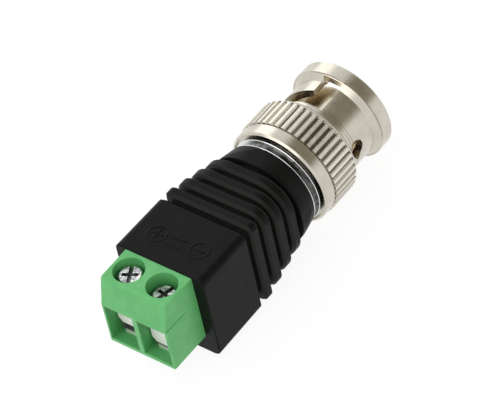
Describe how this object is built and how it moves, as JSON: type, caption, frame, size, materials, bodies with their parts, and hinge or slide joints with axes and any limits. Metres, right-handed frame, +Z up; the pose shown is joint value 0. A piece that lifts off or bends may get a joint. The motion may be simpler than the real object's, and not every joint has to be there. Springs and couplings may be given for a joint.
{
  "type": "coaxial plug to screw terminal adapter",
  "caption": "Bayonet-lock coaxial plug on a ribbed moulded body whose back end carries a screw terminal block for bare wires.",
  "frame": {"origin": "on the plug's axis at the tip of its contact sleeve, where a mating socket's seat comes to rest", "axes": "+X along the plug's axis, out of the coupling nut's mouth; +Z up, the side the terminal screws face; +Y towards the plus terminal"},
  "size_m": [0.0428, 0.0146, 0.0146],
  "materials": {
    "terminal_green": "moulded green plastic, half gloss",
    "zinc_plate": "zinc plated, bright",
    "screw_zinc": "zinc plated, bright",
    "body_black": "moulded black plastic, low sheen",
    "lead_red": "soft red insulation",
    "lead_black": "soft black insulation",
    "tinned_tag": "tinned brass sheet",
    "nickel_body": "nickel plated brass, turned",
    "bright_nickel": "bright plated",
    "insulator_white": "white moulded plastic",
    "pin_gold": "gold plated",
    "gasket_rubber": "soft silicone ring",
    "spring_steel": "plain spring steel",
    "satin_nickel": "satin nickel plate over zinc or brass"
  },
  "bodies": {
    "main": {"terminal_housing": "terminal_green", "contact_frame_plus": "zinc_plate", "contact_frame_minus": "zinc_plate", "moulding": "body_black", "signal_lead": "lead_red", "ground_lead": "lead_black", "ground_tag": "tinned_tag", "plug_body": "nickel_body", "neck_ring": "bright_nickel", "insulator": "insulator_white", "rear_insulator": "insulator_white", "centre_pin": "pin_gold", "gasket": "gasket_rubber", "wave_washer": "spring_steel"},
    "plus_plate": {"pressure_plate_plus": "zinc_plate"},
    "minus_plate": {"pressure_plate_minus": "zinc_plate"},
    "plus_screw": {"clamp_screw_plus": "screw_zinc"},
    "minus_screw": {"clamp_screw_minus": "screw_zinc"},
    "nut_carriage": {"thrust_washer": "spring_steel"},
    "nut": {"coupling_nut": "satin_nickel", "retaining_ring": "spring_steel"}
  },
  "joints": [
    {"name": "nut_slide", "type": "slide", "parent": "main", "child": "nut_carriage", "axis": [1, 0, 0], "range_m": [0, 0.0008], "stiffness_N_per_m": 3000, "springref_m": -0.0004, "deforming": ["wave_washer"]},
    {"name": "nut_spin", "type": "hinge", "parent": "nut_carriage", "child": "nut", "pos_m": [0, 0, 0], "axis": [1, 0, 0], "continuous": true},
    {"name": "plus_plate_lift", "type": "slide", "parent": "main", "child": "plus_plate", "axis": [0, 0, 1], "range_m": [-0.0012, 0.00055]},
    {"name": "plus_screw_turn", "type": "hinge", "parent": "plus_plate", "child": "plus_screw", "pos_m": [-0.038, 0.0025, 0], "axis": [0, 0, 1], "range_deg": [-864, 396]},
    {"name": "minus_plate_lift", "type": "slide", "parent": "main", "child": "minus_plate", "axis": [0, 0, 1], "range_m": [-0.0004, 0.00135]},
    {"name": "minus_screw_turn", "type": "hinge", "parent": "minus_plate", "child": "minus_screw", "pos_m": [-0.038, -0.0025, 0], "axis": [0, 0, 1], "range_deg": [-288, 972]}
  ],
  "couplings": [
    {"joint": "plus_screw_turn", "follows": "plus_plate_lift", "rad_per_m": 12566},
    {"joint": "minus_screw_turn", "follows": "minus_plate_lift", "rad_per_m": 12566}
  ]
}
